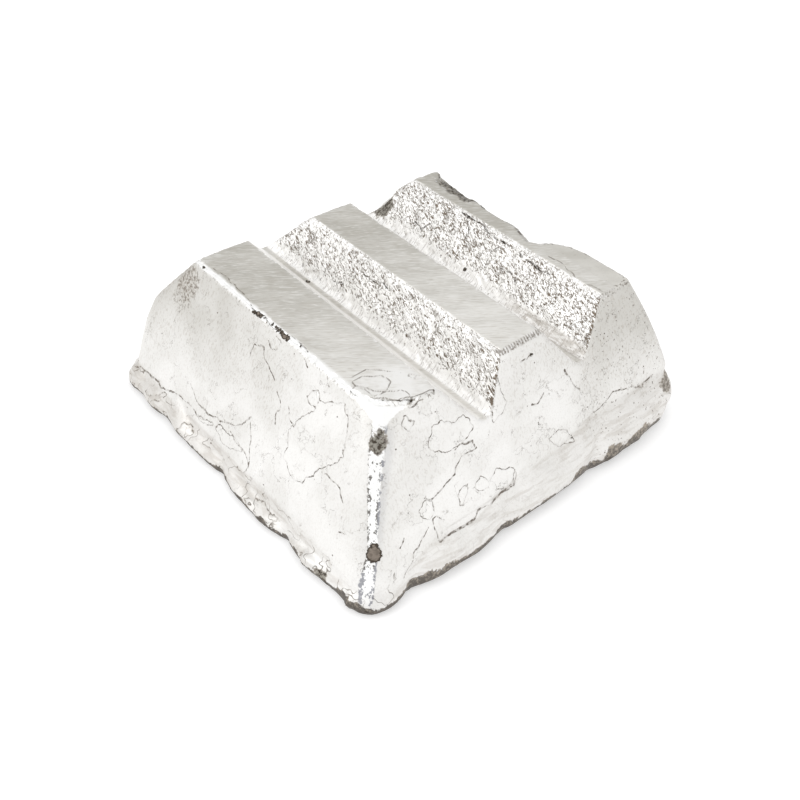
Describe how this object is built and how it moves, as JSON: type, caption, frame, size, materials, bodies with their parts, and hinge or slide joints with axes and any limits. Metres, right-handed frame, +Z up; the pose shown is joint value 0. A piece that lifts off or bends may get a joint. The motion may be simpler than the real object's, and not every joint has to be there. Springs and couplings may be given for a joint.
{
  "type": "master alloy ingot",
  "caption": "Cast master alloy ingot lying on its cast face: a squat tapered block, its top notched by grooves into flat lands, with a rolled lip round its foot.",
  "frame": {"origin": "middle of the foot: on the floor plane, under the centre of the outline", "axes": "+Z up from the foot to the lands, +Y along the grooves from the front end to the slumped back end, +X across the grooves towards the chipped right edge"},
  "size_m": [0.155, 0.1559, 0.058],
  "materials": {
    "cast_alloy": "silver-white as-cast aluminium alloy: satin lands, bright crystalline groove walls, flaking cast skin on the sides, dark oxide in cracks and under the lip"
  },
  "bodies": {
    "root": {"ingot": "cast_alloy"}
  },
  "joints": []
}
